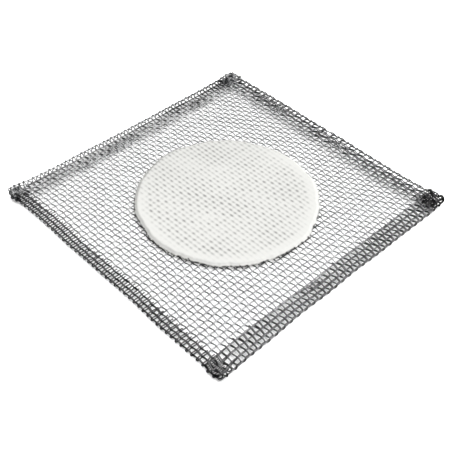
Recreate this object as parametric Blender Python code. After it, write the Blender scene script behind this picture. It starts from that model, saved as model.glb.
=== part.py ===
"""Square laboratory wire gauze with a moulded ceramic centre.

A square of plain-woven steel wire cloth is turned over once along its four edges, the left and
right edges first and then the near and far ones, so that each corner holds four layers. A ceramic
disc is pressed through the middle of the cloth from both sides, and its two faces are one piece,
keyed together through the openings of the cloth.

Metres, +Z up. Warp wires run along Y and weft wires along X. The origin is under the middle of the
disc, on the plane that the disc rests on. The cloth's crimp is left out here: the weft wires lie
straight in a lower layer and the warp wires in an upper one, at their true number, pitch and size.
"""
import bmesh
import bpy
import numpy as np

MM = 0.001

# Driving dimensions
SIDE = 125.0 * MM              # outside, from fold to fold
WARP_COUNT = 63                # warp wires across one side
WEFT_COUNT = 48                # weft wires up one side
WIRE = 0.50 * MM               # wire diameter
HEM = 7.0 * MM                 # width turned over along each edge
RAMP = 12.0 * MM               # stretch of a hem that climbs from two layers to a corner's four
CENTRE_DIAMETER = 75.0 * MM
CENTRE_THICKNESS = 2.45 * MM
CENTRE_ROUNDING = 0.30 * MM    # radius around the rim of the disc

# Clearances
WEAVE_SLACK = 0.05 * MM        # what the cloth's thickness has over two wires
LAYER_GAP = 0.10 * MM          # air between two folded layers
MOULD_GAP = 0.25 * MM          # between the ceramic and the wires that run through it
INSET = 0.01 * MM              # how far a joined piece keeps inside the one that holds its end
EMBED = 0.60 * MM              # length of that held end

# Worked out from the above
HALF = SIDE / 2
FIELD = HALF - HEM                               # half width of the single cloth inside the hems
WARP_PITCH = SIDE / WARP_COUNT
WEFT_PITCH = SIDE / WEFT_COUNT
CLOTH = 2 * WIRE + WEAVE_SLACK                   # thickness of the cloth
CLOTH_Z = (CENTRE_THICKNESS - CLOTH) / 2         # height of its underside
FOLD_RADIUS = CLOTH + LAYER_GAP / 2              # outside radius of a fold of two layers
CORNER_RADIUS = 2 * FOLD_RADIUS + LAYER_GAP / 2  # and of a corner's four
SLAB = CLOTH_Z - MOULD_GAP                       # thickness of each face of the disc

# How finely round things are drawn
FOLD_STEPS = 6
RAMP_STEPS = 4
WIRE_SIDES = 8
RIM_STEPS = 3
DISC_SIDES = 96
KEY_STEP = 2                                     # a ceramic key in every second opening, each way


def clear_scene():
    for item in list(bpy.data.objects):
        bpy.data.objects.remove(item, do_unlink=True)


def finish_material(name, colour, metallic, roughness):
    material = bpy.data.materials.new(name)
    material.use_nodes = True
    shader = material.node_tree.nodes["Principled BSDF"]
    shader.inputs["Base Color"].default_value = (*colour, 1.0)
    shader.inputs["Metallic"].default_value = metallic
    shader.inputs["Roughness"].default_value = roughness
    return material


def make_object(name, bodies, material=None, sharp_angle=35.0):
    """One object from closed bodies, each a pair of vertex and face lists."""
    shape = bmesh.new()
    for points, faces in bodies:
        corners = [shape.verts.new(point) for point in points]
        for face in faces:
            shape.faces.new([corners[index] for index in face])
    bmesh.ops.recalc_face_normals(shape, faces=shape.faces)
    mesh = bpy.data.meshes.new(name)
    shape.to_mesh(mesh)
    shape.free()
    mesh.shade_smooth()
    mesh.set_sharp_from_angle(angle=np.radians(sharp_angle))
    item = bpy.data.objects.new(name, mesh)
    bpy.context.scene.collection.objects.link(item)
    if material:
        mesh.materials.append(material)
    else:
        item.hide_render = True
        item.display_type = "WIRE"
    return item


def join_to(item, helper):
    union = item.modifiers.new("join " + helper.name, "BOOLEAN")
    union.operation = "UNION"
    union.solver = "EXACT"
    union.object = helper


def loft(stations):
    """A closed body through equal outlines: stations is (outline, point, xyz)."""
    stations = np.asarray(stations)
    rows, count = stations.shape[:2]
    faces = []
    for row in range(rows - 1):
        for point in range(count):
            following = (point + 1) % count
            faces.append((row * count + point, row * count + following,
                          (row + 1) * count + following, (row + 1) * count + point))
    faces.append(tuple(range(count)))
    faces.append(tuple(range((rows - 1) * count, rows * count)))
    return stations.reshape(-1, 3).tolist(), faces


def turned(profile, sides):
    """A closed body of revolution about Z from (radius, z) pairs between its two end discs."""
    angles = np.arange(sides) * 2 * np.pi / sides
    radius, height = np.asarray(profile).T
    rings = np.stack([np.outer(radius, np.cos(angles)), np.outer(radius, np.sin(angles)),
                      np.repeat(height[:, None], sides, axis=1)], axis=-1)
    return loft(rings)


def hairpin(radius, thickness):
    """Outline of a strip folded once: (distance in from the fold, height), as an (n, 2) array.

    Two straight legs reach HEM in from the fold. Round half circles of the given outside radius,
    and of that radius less the thickness, join them.
    """
    angle = np.linspace(0.0, np.pi, FOLD_STEPS + 1)

    def half_circle(size, turn):
        return np.stack([radius - size * np.sin(turn), radius - size * np.cos(turn)], axis=-1)

    return np.concatenate([
        [(HEM, 0.0)], half_circle(radius, angle), [(HEM, 2 * radius)],
        [(HEM, 2 * radius - thickness)], half_circle(radius - thickness, angle[::-1]),
        [(HEM, thickness)]])


def side_hem(side):
    """Left (-1) or right (+1) hem, its ends turned over again with the near and far edges.

    The folded outline runs along Y, round a half circle of CORNER_RADIUS and back by HEM. A point
    that lies high in the outline runs round nearer to the circle's centre.
    """
    across, height = hairpin(FOLD_RADIUS, CLOTH).T
    turns = np.linspace(0.0, np.pi, FOLD_STEPS + 1)
    arc_y = HALF - CORNER_RADIUS

    def station(end, turn, back=0.0):
        reach = CORNER_RADIUS - height
        y = end * (arc_y - back + reach * np.sin(turn))
        z = CLOTH_Z + CORNER_RADIUS - reach * np.cos(turn)
        return np.stack([side * (HALF - across), y, z], axis=-1)

    leg = HEM - CORNER_RADIUS
    near = [station(-1, np.pi, leg)] + [station(-1, turn) for turn in turns[::-1]]
    far = [station(1, turn) for turn in turns] + [station(1, np.pi, leg)]
    return loft(near + far)


def end_hem(end):
    """Near (-1) or far (+1) hem between the corners, which climbs at both ends to meet them."""
    climb = np.linspace(0.0, 1.0, RAMP_STEPS + 1)
    ease = climb * climb * (3 - 2 * climb)
    x = np.concatenate([[-FIELD - EMBED], -FIELD + climb * RAMP,
                        (FIELD - climb * RAMP)[::-1], [FIELD + EMBED]])
    fold = CORNER_RADIUS + (FOLD_RADIUS - CORNER_RADIUS) * ease
    radii = np.concatenate([[CORNER_RADIUS], fold, fold[::-1], [CORNER_RADIUS]])
    stations = []
    for place, radius in zip(x, radii):
        across, height = hairpin(radius - INSET, CLOTH - 2 * INSET).T
        stations.append(np.stack([np.full(len(across), place), end * (HALF - INSET - across),
                                  CLOTH_Z + INSET + height], axis=-1))
    return loft(stations)


def wire_places(count, pitch):
    """Centres of the wires that lie between the hems, pitched evenly about the middle."""
    places = (np.arange(count) - (count - 1) / 2) * pitch
    return places[np.abs(places) < FIELD - WIRE / 2]


def straight_wires(places, height, along_x):
    """Straight eight-sided wires between two hems, with their ends held in the lower layer."""
    turn = (np.arange(WIRE_SIDES) + 0.5) * 2 * np.pi / WIRE_SIDES
    offset = WIRE / 2 * np.cos(turn)
    level = CLOTH_Z + height + WIRE / 2 * np.sin(turn)
    reach = FIELD + EMBED
    bodies = []
    for place in places:
        ends = []
        for end in (-reach, reach):
            run = np.full(WIRE_SIDES, end)
            side = place + offset
            ends.append(np.stack([run, side, level] if along_x else [side, run, level], axis=-1))
        bodies.append(loft(ends))
    return bodies


def wire_cloth():
    """The woven and hemmed cloth: folded hems, with the wires joined to their lower layer."""
    zinc = finish_material("zinc_coated_wire", (0.56, 0.57, 0.58), 1.0, 0.38)
    cloth = make_object("wire_cloth", [side_hem(-1), side_hem(1)], zinc)
    join_to(cloth, make_object("end_hems", [end_hem(-1), end_hem(1)]))
    weft = straight_wires(wire_places(WEFT_COUNT, WEFT_PITCH), CLOTH * 0.25, True)
    warp = straight_wires(wire_places(WARP_COUNT, WARP_PITCH), CLOTH * 0.75, False)
    join_to(cloth, make_object("field_wires", weft + warp))


def disc_face(flat_z, inner_z):
    """One face of the disc, from its flat outer side to its inner side, with a rounded rim."""
    turn = np.linspace(0.0, np.pi / 2, RIM_STEPS + 1)
    into = np.sign(inner_z - flat_z)
    radius = CENTRE_DIAMETER / 2
    rim = np.stack([radius - CENTRE_ROUNDING * (1 - np.sin(turn)),
                    flat_z + into * CENTRE_ROUNDING * (1 - np.cos(turn))], axis=-1)
    return turned(np.concatenate([rim, [(radius, inner_z)]]), DISC_SIDES)


def opening_places(count, pitch):
    """Centres of every second opening between wires, symmetric about the middle."""
    places = (np.arange(count + 1) - count / 2) * pitch
    middle = int(np.argmin(np.abs(places)))
    return places[middle % KEY_STEP::KEY_STEP]


def ceramic_keys():
    """Square-cut keys through the cloth, clear of the wires and held in both faces."""
    half_x = (WARP_PITCH - WIRE) / 2 - MOULD_GAP
    half_y = (WEFT_PITCH - WIRE) / 2 - MOULD_GAP
    low = SLAB - SLAB / 2
    high = CENTRE_THICKNESS - low
    reach = CENTRE_DIAMETER / 2 - 2 * CENTRE_ROUNDING
    outline = np.array([(-half_x, -half_y), (half_x, -half_y), (half_x, half_y), (-half_x, half_y)])
    bodies = []
    for x in opening_places(WARP_COUNT, WARP_PITCH):
        for y in opening_places(WEFT_COUNT, WEFT_PITCH):
            if np.hypot(abs(x) + half_x, abs(y) + half_y) < reach:
                ends = [np.column_stack([outline + (x, y), np.full(4, z)]) for z in (low, high)]
                bodies.append(loft(ends))
    return bodies


def ceramic_centre():
    """The ceramic disc: a lower and an upper face keyed together through the cloth."""
    ceramic = finish_material("refractory_ceramic", (0.85, 0.85, 0.82), 0.0, 0.90)
    faces = [disc_face(0.0, SLAB), disc_face(CENTRE_THICKNESS, CENTRE_THICKNESS - SLAB)]
    disc = make_object("ceramic_centre", faces, ceramic)
    join_to(disc, make_object("keys", ceramic_keys()))


clear_scene()
wire_cloth()
ceramic_centre()
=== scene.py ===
"""Looks of a laboratory wire gauze: every wire of the woven and hemmed cloth, and the ceramic centre.

The cloth is laid out flat, as woven: a warp wire runs along v at a fixed u, a weft wire along u at a
fixed v, and both rise and fall by their crimp. fold_cloth() then turns the four edges over, the left
and right ones first, and lay_down() sets the result in the frame. Metres, +Z up.
"""

import bpy
import numpy as np
from mathutils import Matrix, Vector


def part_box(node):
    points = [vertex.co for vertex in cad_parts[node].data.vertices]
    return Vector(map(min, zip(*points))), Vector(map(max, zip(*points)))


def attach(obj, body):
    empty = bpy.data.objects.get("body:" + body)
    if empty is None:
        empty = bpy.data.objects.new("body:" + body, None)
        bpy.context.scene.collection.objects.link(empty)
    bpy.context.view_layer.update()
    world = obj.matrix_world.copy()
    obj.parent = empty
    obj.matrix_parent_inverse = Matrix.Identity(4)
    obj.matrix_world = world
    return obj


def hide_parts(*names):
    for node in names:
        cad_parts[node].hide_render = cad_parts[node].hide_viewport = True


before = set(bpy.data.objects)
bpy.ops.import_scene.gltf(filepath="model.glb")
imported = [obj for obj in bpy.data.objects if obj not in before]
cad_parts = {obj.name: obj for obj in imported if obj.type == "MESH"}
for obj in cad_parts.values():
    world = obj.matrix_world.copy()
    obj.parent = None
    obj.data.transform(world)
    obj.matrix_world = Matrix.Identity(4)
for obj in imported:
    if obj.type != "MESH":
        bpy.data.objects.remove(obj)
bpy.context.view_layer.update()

MM = 0.001

# Cloth, from the frame's boxes and the counts of its wires
CLOTH_LOW, CLOTH_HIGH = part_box("wire_cloth")
DISC_LOW, DISC_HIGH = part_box("ceramic_centre")
HALF = (CLOTH_HIGH.x - CLOTH_LOW.x) / 2
WARP_COUNT, WEFT_COUNT = 63, 48
WARP_PITCH, WEFT_PITCH = 2 * HALF / WARP_COUNT, 2 * HALF / WEFT_COUNT
WEFT_SHIFT = -0.85 * MM       # the near fold lies almost along a weft wire
WIRE = 0.50 * MM
WARP_CRIMP, WEFT_CRIMP = 0.39 * MM, 0.11 * MM     # rise of each set above the middle of the cloth
CLOTH_MIDDLE = (DISC_LOW.z + DISC_HIGH.z) / 2

# Hems: the place of the fold, the radius of the fold through the middle of the cloth, the angle that
# the flap slopes down by, the flat distance from the middle to its cut edge, how far the flap has
# slipped along the fold, and how much painted shade darkens its wires in place of the shade in its folds
LEFT = {"edge": HALF, "radius": 0.60 * MM, "slope": 0.03, "cut": 68.6 * MM,
        "slip": 0.20 * MM, "dark": 0.85}
RIGHT = {"edge": HALF + 0.55 * MM, "radius": 1.20 * MM, "slope": 0.10, "cut": 73.0 * MM,
         "slip": -1.73 * MM, "dark": 0.60}
NEAR = {"edge": HALF - 0.40 * MM, "radius": 0.60 * MM, "slope": 0.02, "cut": 70.6 * MM,
        "slip": 1.40 * MM, "dark": 0.60}
FAR = {"edge": HALF - 0.80 * MM, "radius": 0.85 * MM, "slope": 0.08, "cut": 71.8 * MM,
       "slip": 0.76 * MM, "dark": 0.35}
FAR_PAINTED_SHADE_RISE = 1.5           # how much more painted shade the far hem gets towards its right end
# Painted shade where two hems cross in a corner: added in the right corner, taken off in the near corner
# and more so in the other two
RIGHT_CORNER_PAINTED_SHADE, NEAR_CORNER_PAINTED_SHADE, OTHER_CORNERS_PAINTED_SHADE = 0.35, -0.15, -0.50
CORNER_REACH = 9.0 * MM       # how far from a corner its four layers still change the folds
CORNER_BLEND = 5.0 * MM       # the stretch over which the change comes in
CORNER_RADIUS = 1.50 * MM     # of the second fold, over two layers
PRESSED_RADIUS = 0.60 * MM    # of the first fold under it

DISC_RADIUS = (DISC_HIGH.x - DISC_LOW.x) / 2
DISC_X, DISC_Y = 0.3 * MM, -1.0 * MM              # the disc is moulded a little off the middle
DISC_GRID = 208               # points along each side of the grid that its faces are drawn on
RIM_INSET = 0.45 * MM         # mean distance of its ragged rim inside the full radius
FACE_INSET = 0.09 * MM        # of its faces inside the full thickness, which the crests rise back to
DISH = 0.12 * MM
CREST_RELIEF = 0.09 * MM
RIM_ROUNDING = 0.65 * MM
WALL_BULGE = 0.55 * MM

# How uneven the cloth is
PLACE_ERROR, SWAY, CUT_ERROR = 0.045 * MM, 0.03 * MM, 0.25 * MM
SWAY_LENGTHS = (90 * MM, 41 * MM, 17 * MM)
SAG = 0.30 * MM
LEFT_LIFT, RIGHT_LIFT, NEAR_LIFT = 0.9 * MM, 0.7 * MM, -0.1 * MM

SEED = 11

LIGHT_SIDE = (0.30, -0.30, 0.90)                  # towards the light


# ---------------------------------------------------------------- shapes

def smooth_step(value, low, high):
    """0 below low and 1 above high, by 3t^2 - 2t^3 between them."""
    t = np.clip((value - low) / (high - low), 0.0, 1.0)
    return t * t * (3 - 2 * t)


def slow_waves(seed, strength, longest, terms=7):
    """A smooth random function of (x, y): a sum of sines whose lengths run from longest down to a
    quarter of it, each with its own direction and phase, and with weights that fall with length."""
    rng = np.random.default_rng(seed)
    heading = rng.uniform(0, 2 * np.pi, terms)
    phase = rng.uniform(0, 2 * np.pi, terms)
    length = longest * np.geomspace(1.0, 0.25, terms)
    weight = np.sqrt(length / length.sum()) * strength

    def value(x, y):
        along = x[..., None] * np.cos(heading) + y[..., None] * np.sin(heading)
        return (weight * np.sin(2 * np.pi * along / length + phase)).sum(axis=-1)
    return value


DRIFT_U = slow_waves(SEED + 1, 0.18 * MM, 90 * MM)
DRIFT_V = slow_waves(SEED + 2, 0.20 * MM, 80 * MM)
RISE = slow_waves(SEED + 3, 0.22 * MM, 80 * MM)
STAND_OFF = slow_waves(SEED + 4, 0.10, 45 * MM)


def crimp(place, pitch):
    """Height of a crimped wire in units of its crimp: a zigzag with rounded crests, +1 at place 0
    and -1 one pitch on, as arcsin(s cos(pi place / pitch)) / arcsin(s)."""
    roundness = 0.97
    return np.arcsin(roundness * np.cos(np.pi * place / pitch)) / np.arcsin(roundness)


# Where the edges bulge or are dented: side, end, how far outwards, place along the edge, half width
PUSHED_X = ((-1, -1, 0.8 * MM, 58.0 * MM, 2.8 * MM), (-1, 1, 1.2 * MM, 57.5 * MM, 2.8 * MM),
            (1, 1, -0.7 * MM, 60.0 * MM, 6.0 * MM))
PUSHED_Y = ((-1, -1, 1.0 * MM, 60.0 * MM, 7.0 * MM), (1, -1, 0.4 * MM, 60.0 * MM, 8.0 * MM),
            (-1, -1, 0.5 * MM, 45.0 * MM, 12.0 * MM), (1, -1, -0.6 * MM, 5.0 * MM, 36.0 * MM),
            (1, 1, -1.1 * MM, 0.0 * MM, 52.0 * MM))


def near_corner(distance):
    """0 where a corner is farther than CORNER_REACH, and rising to 1 over the next CORNER_BLEND."""
    start = HALF - CORNER_REACH
    return smooth_step(np.abs(distance), start, start + CORNER_BLEND)


def turn_over(reach, height, edge, radius, slope):
    """Folds a strip over at its outer edge. reach is the distance out from the middle of the cloth,
    height the distance above its middle surface. Inside the fold nothing changes. Round the fold the
    middle surface follows an arc of the given radius, whose outermost point is at edge, and beyond
    it the strip runs straight back, sloping down by the given angle."""
    start = edge - radius
    most = np.pi + slope
    turn = np.clip((reach - start) / radius, 0.0, most)
    beyond = np.maximum(reach - start - radius * most, 0.0)
    flat = np.minimum(reach, start)
    out = flat + (radius - height) * np.sin(turn) + beyond * np.cos(most)
    up = radius - (radius - height) * np.cos(turn) + beyond * np.sin(most)
    return out, up


def of_hem(key, positive, low_hem, high_hem):
    """One setting of whichever of two opposite hems each point belongs to."""
    return np.where(positive, high_hem[key], low_hem[key])


def fold_cloth(u, v, height):
    """Points of the flat cloth, as arrays, to points of the hemmed gauze: the left and right edges
    are turned over, then the near and far ones, round a wider fold where two layers lie already."""
    right, far = u > 0, v > 0
    end = near_corner(v)
    radius = of_hem("radius", right, LEFT, RIGHT)
    radius += (PRESSED_RADIUS - radius) * end
    edge = of_hem("edge", right, LEFT, RIGHT)
    v = v + of_hem("slip", right, LEFT, RIGHT) * smooth_step(np.abs(u), edge - radius, edge + radius)
    slope = of_hem("slope", right, LEFT, RIGHT) + STAND_OFF(u * 0, v)
    x, z = turn_over(np.abs(u), height, edge, radius, slope * (1 - end))
    x = np.where(right, x, -x)
    end = near_corner(x)
    radius = of_hem("radius", far, NEAR, FAR)
    radius += (CORNER_RADIUS - radius) * end
    edge = of_hem("edge", far, NEAR, FAR)
    slip = smooth_step(np.abs(v), edge - radius, edge + radius) * (1 - end)
    slope = of_hem("slope", far, NEAR, FAR) + STAND_OFF(x, v * 0)
    y, z = turn_over(np.abs(v), z, edge, radius, slope * (1 - end))
    return x + of_hem("slip", far, NEAR, FAR) * slip, np.where(far, y, -y), z


def lay_down(x, y, z):
    """The folded gauze in the frame: its wires drift in plan by slow waves, its edges bulge or are
    dented by bells along them, and outside the disc it sags and bows a little, with the left and
    right corners lifted by the square of |x y| over the half side squared. No layer is kept off another, so
    some wires overlap in the hems and corners."""
    drift_x, drift_y = DRIFT_U(x, y), DRIFT_V(x, y)
    for side, end, push, place, width in PUSHED_X:
        here = smooth_step(side * x, HALF - 14 * MM, HALF - MM)
        drift_x = drift_x + side * push * here * np.exp(-((end * y - place) / width)**2)
    for side, end, push, place, width in PUSHED_Y:
        here = smooth_step(end * y, HALF - 14 * MM, HALF - MM)
        drift_y = drift_y + end * push * here * np.exp(-((side * x - place) / width)**2)
    x, y = x + drift_x, y + drift_y
    away = smooth_step(np.hypot(x, y), DISC_RADIUS, 1.5 * HALF)
    corner = np.abs(x * y) / HALF**2
    left = corner * (x < 0) * (y > 0)
    right = corner * (x > 0) * (y < 0)
    near = corner * (x < 0) * (y < 0)
    lift = away * (RISE(x, y) - SAG + LEFT_LIFT * left**2 + RIGHT_LIFT * right**2
                   + NEAR_LIFT * near**2)
    return np.stack([x, y, CLOTH_MIDDLE + z + lift], axis=-1)


def tubes(lines, reference, radius, sides=8):
    """Round wires along many lines at once, as one vertex array and one face list.

    lines is (wire, station, xyz). At each station a ring lies across the line's direction: one axis
    is the part of the reference direction at right angles to the line, the other is square to both.
    Each wire is closed by an end face. The fourth result is the bake map of every face corner: each
    wire unrolls into a strip of its own, with its two end faces as small discs beside it.
    """
    wires, stations = lines.shape[:2]
    ahead = np.gradient(lines, axis=1)
    ahead /= np.linalg.norm(ahead, axis=-1, keepdims=True)
    across = reference - (ahead @ reference)[..., None] * ahead
    across /= np.linalg.norm(across, axis=-1, keepdims=True)
    upward = np.cross(ahead, across)
    angle = (np.arange(sides) + 0.5) * 2 * np.pi / sides
    rings = lines[:, :, None] + radius * (np.cos(angle)[:, None] * across[:, :, None]
                                          + np.sin(angle)[:, None] * upward[:, :, None])
    first = (np.arange(wires)[:, None, None] * stations * sides
             + np.arange(stations - 1)[:, None] * sides)
    here = np.arange(sides)
    following = (here + 1) % sides
    quads = np.stack([first + here, first + following,
                      first + following + sides, first + here + sides], axis=-1).reshape(-1, 4)
    starts = np.arange(wires)[:, None] * stations * sides
    near_caps = starts + here[::-1]
    far_caps = starts + (stations - 1) * sides + here
    band = (np.arange(wires) / wires)[:, None, None, None]
    step = np.arange(stations - 1)[None, :, None, None] + np.array([0, 0, 1, 1])
    side = here[None, None, :, None] + np.array([0, 1, 1, 0])
    u, v = np.broadcast_arrays(0.01 + 0.98 * step / (stations - 1), band + 0.85 / wires * side / sides)
    strips = np.stack([u, v], axis=-1).reshape(-1, 2)
    size = 0.05 / wires
    turned = np.stack([np.cos(angle), np.sin(angle)], axis=-1) * size
    middles = np.stack([np.full(wires, 0.02), (np.arange(wires) + 0.93) / wires], axis=-1)
    near_discs = middles[:, None] + turned[::-1]
    far_discs = middles[:, None] + turned + np.array([0.9, 0.0])
    bake = np.concatenate([strips, near_discs.reshape(-1, 2), far_discs.reshape(-1, 2)])
    return rings.reshape(-1, 3), quads, np.concatenate([near_caps, far_caps]), bake


def make_mesh(name, points, *face_groups, sharp_angle=50.0, bake=None):
    """One object from points and arrays of faces, each array with its own number of corners. bake
    is a UV pair for every face corner, in the faces' order."""
    mesh = bpy.data.meshes.new(name)
    loops = np.concatenate([group.ravel() for group in face_groups]).astype(np.int32)
    sizes = np.concatenate([np.full(len(group), group.shape[1]) for group in face_groups])
    mesh.vertices.add(len(points))
    mesh.vertices.foreach_set("co", np.asarray(points, np.float32).ravel())
    mesh.loops.add(len(loops))
    mesh.loops.foreach_set("vertex_index", loops)
    mesh.polygons.add(len(sizes))
    starts = np.concatenate([[0], np.cumsum(sizes)[:-1]])
    mesh.polygons.foreach_set("loop_start", starts.astype(np.int32))
    mesh.update(calc_edges=True)
    if bake is not None:
        layer = mesh.uv_layers.new(name="OFBake")
        layer.uv.foreach_set("vector", np.asarray(bake, np.float32).ravel())
    mesh.validate()
    mesh.shade_smooth()
    mesh.set_sharp_from_angle(angle=np.radians(sharp_angle))
    piece = bpy.data.objects.new(name, mesh)
    bpy.context.scene.collection.objects.link(piece)
    return piece


def add_values(piece, name, values):
    """Stores one number for each point of a piece, for its material to read."""
    attribute = piece.data.attributes.new(name, "FLOAT", "POINT")
    attribute.data.foreach_set("value", np.asarray(values, np.float32))


# ---------------------------------------------------------------- wires

def lattice(count, pitch, before, after):
    """Numbers and flat places of the wires of one set: count across the side, and more at both ends
    for the hems. The place of wire n is (n - (count - 1) / 2) pitches."""
    number = np.arange(-before, count + after)
    return number, (number - (count - 1) / 2) * pitch


def stations(pitch, low_hem, high_hem, fine):
    """Places along a wire, from one cut end to the other: four to a pitch, and fine ones where it
    may go round a fold."""
    ends = []
    for hem in (low_hem, high_hem):
        widest = max(hem["radius"], CORNER_RADIUS)
        fold = hem["edge"] - widest - 0.8 * MM
        back = fold + np.pi * widest + 0.8 * MM
        ends.append(np.concatenate([np.arange(0.0, fold, pitch / 4), np.arange(fold, back, fine),
                                    np.arange(back, hem["cut"] - 0.1 * MM, pitch / 4),
                                    [hem["cut"]]]))
    return np.concatenate([-ends[0][:0:-1], ends[1]])


def wire_set(numbers, places, along, crossing_pitch, crossing_first, rise, seed):
    """One set of wires before folding, as arrays of (wire, station): where each lies across the set,
    where along it, and its height. Every wire is a little out of place, waves slightly and is cut a
    little long or short. Its height is its crimp, which crosses a wire of the other set at
    crossing_first and at every pitch from there."""
    rng = np.random.default_rng(seed)
    shift = rng.normal(0.0, PLACE_ERROR, (len(places), 1))
    sway = rng.normal(0.0, SWAY, (len(places), 3))
    phase = rng.uniform(0, 2 * np.pi, (len(places), 3))
    cut = rng.normal(0.0, CUT_ERROR, (len(places), 2))
    moved = np.repeat(along[None, :], len(places), axis=0)
    moved += cut[:, :1] * (moved < along[0] + MM) + cut[:, 1:] * (moved > along[-1] - MM)
    fixed = places[:, None] + shift + np.zeros_like(moved)
    for wave, length in enumerate(SWAY_LENGTHS):
        swing = 2 * np.pi * moved / length + phase[:, wave:wave + 1]
        fixed += sway[:, wave:wave + 1] * np.sin(swing)
    parity = np.where(numbers % 2 == 0, 1.0, -1.0)[:, None]
    return fixed, moved, rise * parity * crimp(moved - crossing_first, crossing_pitch)


def painted_shade(points):
    """Painted shade on the wires at each point, from 0 to 1, standing in for the shade inside the folded
    hems and corners: it rises from 0 in the open field to its hem's own value, up to 2.5 times that
    along the far hem towards its right end. It is higher where two hems cross in the right corner and
    lower in the other three, and high in a narrow ring round the near side of the disc, a painted
    shadow under its rim. These are smooth steps of distance, and a bell across the ring."""
    x, y = points[:, 0], points[:, 1]
    hem_x = smooth_step(np.abs(x), HALF - 8.0 * MM, HALF - 5.0 * MM)
    hem_y = smooth_step(np.abs(y), HALF - 9.0 * MM, HALF - 6.0 * MM)
    along_far = 1 + FAR_PAINTED_SHADE_RISE * smooth_step(x, -0.5 * HALF, HALF) * (y > 0)
    hems = np.maximum(hem_x * of_hem("dark", x > 0, LEFT, RIGHT),
                      hem_y * of_hem("dark", y > 0, NEAR, FAR) * along_far)
    # Painted shadow in a narrow ring round the near side of the disc's rim
    from_rim = np.hypot(x - DISC_X, y - DISC_Y) - DISC_RADIUS
    near_side = smooth_step(-(x + y) / DISC_RADIUS, -0.5, 0.8)
    ring = np.exp(-((from_rim - 0.5 * MM) / (1.1 * MM))**2) * near_side
    # Painted shade where two hems cross, more in the right corner and less in the others
    in_corner = np.where(y > 0, OTHER_CORNERS_PAINTED_SHADE, np.where(x > 0, RIGHT_CORNER_PAINTED_SHADE, NEAR_CORNER_PAINTED_SHADE))
    return np.clip(np.maximum(hems, ring) + in_corner * hem_x * hem_y, 0.0, 1.0)


def galvanised(name):
    """Zinc-coated steel wire: a neutral grey metal, mottled by noise, and
    darker by painted shade from the dark attribute."""
    material = bpy.data.materials.new(name)
    material.use_nodes = True
    nodes, links = material.node_tree.nodes, material.node_tree.links
    shader = nodes["Principled BSDF"]
    shader.inputs["Metallic"].default_value = 1.0
    place = nodes.new("ShaderNodeTexCoord")
    patches = nodes.new("ShaderNodeTexNoise")
    patches.inputs["Scale"].default_value = 260.0
    patches.inputs["Detail"].default_value = 3.0
    links.new(place.outputs["Object"], patches.inputs["Vector"])
    colour = nodes.new("ShaderNodeValToRGB")
    colour.color_ramp.elements[0].position = 0.30
    colour.color_ramp.elements[0].color = (0.28, 0.282, 0.285, 1)
    colour.color_ramp.elements[1].position = 0.70
    colour.color_ramp.elements[1].color = (0.54, 0.542, 0.545, 1)
    links.new(patches.outputs["Fac"], colour.inputs["Fac"])
    # Painted shade: the dark attribute mixes the colour towards near-black in the hems, the corners and
    # round the disc's near rim
    dark = nodes.new("ShaderNodeAttribute")
    dark.attribute_name = "dark"
    painted_shade_mix = nodes.new("ShaderNodeMix")
    painted_shade_mix.data_type = "RGBA"
    painted_shade_mix.inputs["B"].default_value = (0.035, 0.035, 0.036, 1)
    links.new(dark.outputs["Fac"], painted_shade_mix.inputs["Factor"])
    links.new(colour.outputs["Color"], painted_shade_mix.inputs["A"])
    links.new(painted_shade_mix.outputs["Result"], shader.inputs["Base Color"])
    rough = nodes.new("ShaderNodeMapRange")
    rough.inputs["To Min"].default_value = 0.34
    rough.inputs["To Max"].default_value = 0.24
    links.new(patches.outputs["Fac"], rough.inputs["Value"])
    links.new(rough.outputs["Result"], shader.inputs["Roughness"])
    return material


def make_wires():
    """The cloth's warp and weft wires, each set in two pieces."""
    zinc = galvanised("zinc_coated_wire")
    warp_number, warp_place = lattice(WARP_COUNT, WARP_PITCH, 3, 5)
    weft_number, weft_place = lattice(WEFT_COUNT, WEFT_PITCH, 3, 4)
    weft_place += WEFT_SHIFT
    along = stations(WEFT_PITCH, NEAR, FAR, 0.22 * MM)
    fixed, moved, height = wire_set(warp_number, warp_place, along, WEFT_PITCH, weft_place[3],
                                    WARP_CRIMP, SEED + 10)
    warp = lay_down(*fold_cloth(fixed, moved, height))
    along = stations(WARP_PITCH, LEFT, RIGHT, 0.18 * MM)
    fixed, moved, height = wire_set(weft_number, weft_place, along, WARP_PITCH, warp_place[3],
                                    WEFT_CRIMP, SEED + 20)
    weft = lay_down(*fold_cloth(moved, fixed, -height))
    for name, lines, reference in (("warp_wires", warp, (1.0, 0.0, 0.0)),
                                   ("weft_wires", weft, (0.0, 1.0, 0.0))):
        middle = len(lines) // 2
        for half, part in (("a", lines[:middle]), ("b", lines[middle:])):
            points, quads, caps, bake = tubes(part, np.array(reference), WIRE / 2)
            piece = make_mesh(f"{name}_{half}", points, quads, caps, bake=bake)
            # Painted shade in the hems and corners, and a painted shadow round the disc's near rim
            add_values(piece, "dark", painted_shade(points))
            piece.data.materials.append(zinc)
            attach(piece, "root")
            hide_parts("wire_cloth")


# ---------------------------------------------------------------- ceramic centre

def round_grid(count):
    """A square grid of count by count points squeezed onto the unit disc with even spacing: each
    square ring of the grid becomes a circle of the same rank."""
    side = np.linspace(-1, 1, count)
    a, b = np.meshgrid(side, side, indexing="ij")
    wide = np.abs(a) > np.abs(b)
    radius = np.where(wide, a, b)
    safe_a = np.where(np.abs(a) < 1e-12, 1e-12, a)
    safe_b = np.where(np.abs(b) < 1e-12, 1e-12, b)
    angle = np.where(wide, np.pi / 4 * b / safe_a, np.pi / 2 - np.pi / 4 * a / safe_b)
    return radius * np.cos(angle), radius * np.sin(angle)


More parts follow.
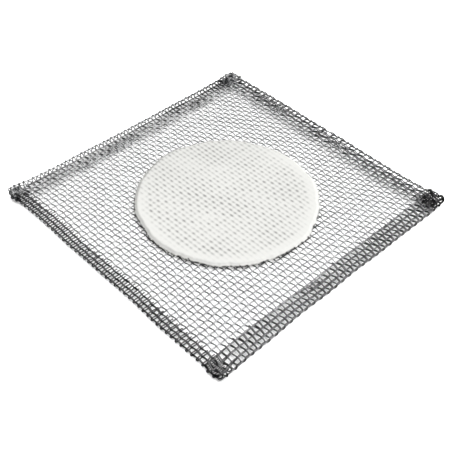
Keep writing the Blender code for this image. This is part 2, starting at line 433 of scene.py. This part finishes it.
def weave_crests(x, y):
    """How near a point is to the crest of a warp wire, to that of a weft wire, and to either wire's
    line, each from 0 to 1: the products of two bells across and along a crest, and the larger of
    two bells across the lines."""
    column = x / WARP_PITCH + (WARP_COUNT - 1) / 2
    row = (y - WEFT_SHIFT) / WEFT_PITCH + (WEFT_COUNT - 1) / 2
    nearest_column, nearest_row = np.round(column), np.round(row)
    across = (column - nearest_column) * WARP_PITCH
    along = (row - nearest_row) * WEFT_PITCH
    warp_over = (nearest_column + nearest_row) % 2 == 0
    crest = np.exp(-(across / (0.42 * MM))**2 - (along / (0.90 * MM))**2)
    line = np.maximum(np.exp(-(across / (0.35 * MM))**2), 0.7 * np.exp(-(along / (0.35 * MM))**2))
    return crest * warp_over, crest * ~warp_over, line


def ceramic_material():
    """Unglazed off-white refractory, with the wires' crests showing grey through its thin face, and a
    dark painted shadow on the near side of its wall, read from a point attribute."""
    material = bpy.data.materials.new("refractory_ceramic")
    material.use_nodes = True
    nodes, links = material.node_tree.nodes, material.node_tree.links
    shader = nodes["Principled BSDF"]
    shader.inputs["Roughness"].default_value = 0.9
    shader.inputs["Specular IOR Level"].default_value = 0.3
    crest = nodes.new("ShaderNodeAttribute")
    crest.attribute_name = "crest"
    mix = nodes.new("ShaderNodeMix")
    mix.data_type = "RGBA"
    mix.inputs["A"].default_value = (0.705, 0.705, 0.68, 1)
    mix.inputs["B"].default_value = (0.32, 0.32, 0.31, 1)
    links.new(crest.outputs["Fac"], mix.inputs["Factor"])
    # Painted shadow on the near side of the wall, mixing the colour towards near-black
    painted_shadow = nodes.new("ShaderNodeAttribute")
    painted_shadow.attribute_name = "painted_shadow"
    painted_shadow_mix = nodes.new("ShaderNodeMix")
    painted_shadow_mix.data_type = "RGBA"
    painted_shadow_mix.inputs["B"].default_value = (0.05, 0.05, 0.05, 1)
    links.new(painted_shadow.outputs["Fac"], painted_shadow_mix.inputs["Factor"])
    links.new(mix.outputs["Result"], painted_shadow_mix.inputs["A"])
    links.new(painted_shadow_mix.outputs["Result"], shader.inputs["Base Color"])
    return material


def disc_surface(unit_x, unit_y):
    """The disc's faces over a round grid: x, y, height above and below the middle of the cloth, and
    how strongly the wires' crests show. The rim is ragged by two sets of slow waves. The height is
    half the thickness less a dish, plus a swelling over each crest, less a rounding at the rim. The
    crests fade in a clean band by the rim, except on the far side."""
    angle = np.arctan2(unit_y, unit_x)
    radius = np.hypot(unit_x, unit_y)
    on_rim_x, on_rim_y = DISC_RADIUS * np.cos(angle), DISC_RADIUS * np.sin(angle)
    ragged = slow_waves(SEED + 30, 0.26 * MM, 26 * MM)(on_rim_x, on_rim_y)
    ragged += slow_waves(SEED + 31, 0.13 * MM, 6 * MM)(on_rim_x, on_rim_y)
    rim = DISC_RADIUS - RIM_INSET + ragged
    x, y = unit_x * rim + DISC_X, unit_y * rim + DISC_Y
    warp, weft, line = weave_crests(x, y)
    far_side = smooth_step(0.95 * unit_y + 0.30 * unit_x, 0.2, 0.8)
    clean_band = smooth_step(radius, 0.82, 0.95) * (1 - 0.8 * far_side)
    worn = 1.0 + slow_waves(SEED + 32, 0.22, 34 * MM)(x, y) + slow_waves(SEED + 33, 0.30, 5 * MM)(x, y)
    crest = (0.90 * warp + 0.55 * weft + 0.16 * line) * (1 - 0.9 * clean_band) * worn
    crest += 0.10 * far_side
    dish = DISH * (1 - smooth_step(radius, 0.55, 0.95))
    relief = CREST_RELIEF * (warp + 0.6 * weft) * (1 - clean_band)
    rounding = RIM_ROUNDING * smooth_step(radius, 0.965, 1.0)**2
    height = (DISC_HIGH.z - DISC_LOW.z) / 2 - FACE_INSET - dish + relief - rounding
    return x, y, height, crest


def disc_wall(edge):
    """Four rows of points between the rims of the two faces, bulging by a half circle."""
    levels = np.linspace(1, -1, 6)[1:-1]
    bulge = WALL_BULGE * np.sqrt(1 - levels**2)
    return [np.column_stack([edge[:, :2] * (1 + out / DISC_RADIUS),
                             CLOTH_MIDDLE + (edge[:, 2] - CLOTH_MIDDLE) * level])
            for level, out in zip(levels, bulge)]


def disc_bake_map(unit_x, unit_y, upper, lower, around_count, band_count):
    """The disc's bake map: its faces as two flat discs side by side, and each band of its wall as a
    strip below them."""
    flat = np.stack([unit_x, unit_y], axis=-1).reshape(-1, 2) * 0.235
    around = np.arange(around_count) / around_count
    next_around = (np.arange(around_count) + 1) / around_count
    bake = [(flat + (0.25, 0.70))[upper].reshape(-1, 2), (flat + (0.75, 0.70))[lower].reshape(-1, 2)]
    across = np.stack([around, around, next_around, next_around], axis=-1)
    for n in range(band_count):
        up = np.broadcast_to(0.05 + 0.06 * (n + np.array([0.0, 0.9, 0.9, 0.0])), across.shape)
        bake.append(np.stack([0.01 + 0.98 * across, up], axis=-1).reshape(-1, 2))
    return np.concatenate(bake)


def wall_painted_shadow(x, y):
    """How much painted shadow darkens the wall at each of its points: uneven, and only on the near side."""
    near_side = smooth_step(-(x + y) / DISC_RADIUS, -0.4, 0.5)
    return near_side * (0.75 + slow_waves(SEED + 34, 0.6, 5 * MM)(x, y))


def make_centre():
    """The disc: two faces on a round grid, and a wall between them."""
    unit_x, unit_y = round_grid(DISC_GRID)
    x, y, height, crest = disc_surface(unit_x, unit_y)
    top = np.stack([x, y, CLOTH_MIDDLE + height], axis=-1).reshape(-1, 3)
    low = np.stack([x, y, CLOTH_MIDDLE - height], axis=-1).reshape(-1, 3)
    per_face = DISC_GRID * DISC_GRID
    index = np.arange(per_face).reshape(DISC_GRID, DISC_GRID)
    a, b, c, d = index[:-1, :-1], index[1:, :-1], index[1:, 1:], index[:-1, 1:]
    upper = np.stack([a, b, c, d], axis=-1).reshape(-1, 4)
    lower = upper[:, ::-1]
    border = np.concatenate([index[:-1, 0], index[-1, :-1], index[:0:-1, -1], index[0, :0:-1]])
    rows = disc_wall(top[border])
    points = np.concatenate([top, low] + rows)
    base = 2 * per_face
    rings = [border] + [base + n * len(border) + np.arange(len(border)) for n in range(len(rows))]
    rings.append(border + per_face)
    bands = [np.stack([r, s, np.roll(s, -1), np.roll(r, -1)], axis=-1)
             for r, s in zip(rings[:-1], rings[1:])]
    bake = disc_bake_map(unit_x, unit_y, upper, lower, len(border), len(bands))
    disc = make_mesh("ceramic_disc", points, upper, lower + per_face, *bands, sharp_angle=80.0, bake=bake)
    # Painted shadow on the near side of the wall
    painted_shadow = np.zeros(len(points))
    painted_shadow[base:] = wall_painted_shadow(points[base:, 0] - DISC_X, points[base:, 1] - DISC_Y)
    add_values(disc, "painted_shadow", np.clip(painted_shadow, 0.0, 1.0))
    add_values(disc, "crest", np.concatenate([crest.ravel(), crest.ravel(), np.zeros(len(points) - base)]))
    disc.data.materials.append(ceramic_material())
    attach(disc, "root")
    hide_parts("ceramic_centre")


# ---------------------------------------------------------------- stage

def make_floor():
    """A wide white table, which gives off a little light so that it stays white under the cloth."""
    size = 3.0
    points = np.array([(-size, -size, 0), (size, -size, 0), (size, size, 0), (-size, size, 0)])
    floor = make_mesh("table_top", points, np.array([[0, 1, 2, 3]]))
    material = bpy.data.materials.new("white_table")
    material.use_nodes = True
    shader = material.node_tree.nodes["Principled BSDF"]
    shader.inputs["Base Color"].default_value = (0.9, 0.9, 0.9, 1)
    shader.inputs["Roughness"].default_value = 0.8
    shader.inputs["Emission Color"].default_value = (1, 1, 1, 1)
    shader.inputs["Emission Strength"].default_value = 0.18
    floor.data.materials.append(material)
    floor.visible_glossy = False
    return floor


def make_table_light(floor):
    """A wide soft lamp overhead that lights the table and nothing else."""
    lamp = bpy.data.lights.new("table_light", "SUN")
    lamp.energy = 2.7
    lamp.angle = np.radians(70)
    item = bpy.data.objects.new("table_light", lamp)
    item.rotation_euler = (np.radians(-12), np.radians(12), 0)
    bpy.context.scene.collection.objects.link(item)
    lit = bpy.data.collections.new("lit_by_table_light")
    lit.objects.link(floor)
    item.light_linking.receiver_collection = lit


def make_light():
    """Soft light from one wide source above and to the right: the world's brightness rises by a
    smooth step of the cosine of the angle to that source, and away from it the room is dark."""
    world = bpy.data.worlds.new("studio")
    bpy.context.scene.world = world
    world.use_nodes = True
    nodes, links = world.node_tree.nodes, world.node_tree.links
    place = nodes.new("ShaderNodeTexCoord")
    toward = nodes.new("ShaderNodeVectorMath")
    toward.operation = "DOT_PRODUCT"
    toward.inputs[1].default_value = Vector(LIGHT_SIDE).normalized()
    links.new(place.outputs["Generated"], toward.inputs[0])
    glow = nodes.new("ShaderNodeMapRange")
    glow.interpolation_type = "SMOOTHSTEP"
    glow.inputs["From Min"].default_value = 0.70
    glow.inputs["From Max"].default_value = 0.85
    glow.inputs["To Min"].default_value = 0.02
    glow.inputs["To Max"].default_value = 3.6
    links.new(toward.outputs["Value"], glow.inputs["Value"])
    nodes["Background"].inputs["Color"].default_value = (1, 1, 1, 1)
    links.new(glow.outputs["Result"], nodes["Background"].inputs["Strength"])


def make_camera():
    """The view along the diagonal, over the near corner, from 44.5 degrees up and 318 mm away."""
    camera = bpy.data.cameras.new("camera")
    camera.lens = 64.6
    camera.sensor_width = 36.0
    camera.clip_start = 0.01
    item = bpy.data.objects.new("camera", camera)
    bpy.context.scene.collection.objects.link(item)
    azimuth, elevation, roll = np.radians((-44.74, 44.51, 1.555))
    target = Vector((-0.00998, -0.01043, 0.0))
    away = Vector((np.cos(elevation) * np.sin(azimuth), -np.cos(elevation) * np.cos(azimuth),
                   np.sin(elevation)))
    item.location = target + 0.3183 * away
    turn = away.to_track_quat("Z", "Y").to_matrix().to_4x4() @ Matrix.Rotation(roll, 4, "Z")
    item.matrix_world = Matrix.Translation(item.location) @ turn
    bpy.context.scene.camera = item
    bpy.context.scene.view_settings.view_transform = "Standard"


make_camera()
make_table_light(make_floor())
make_light()
make_wires()
make_centre()
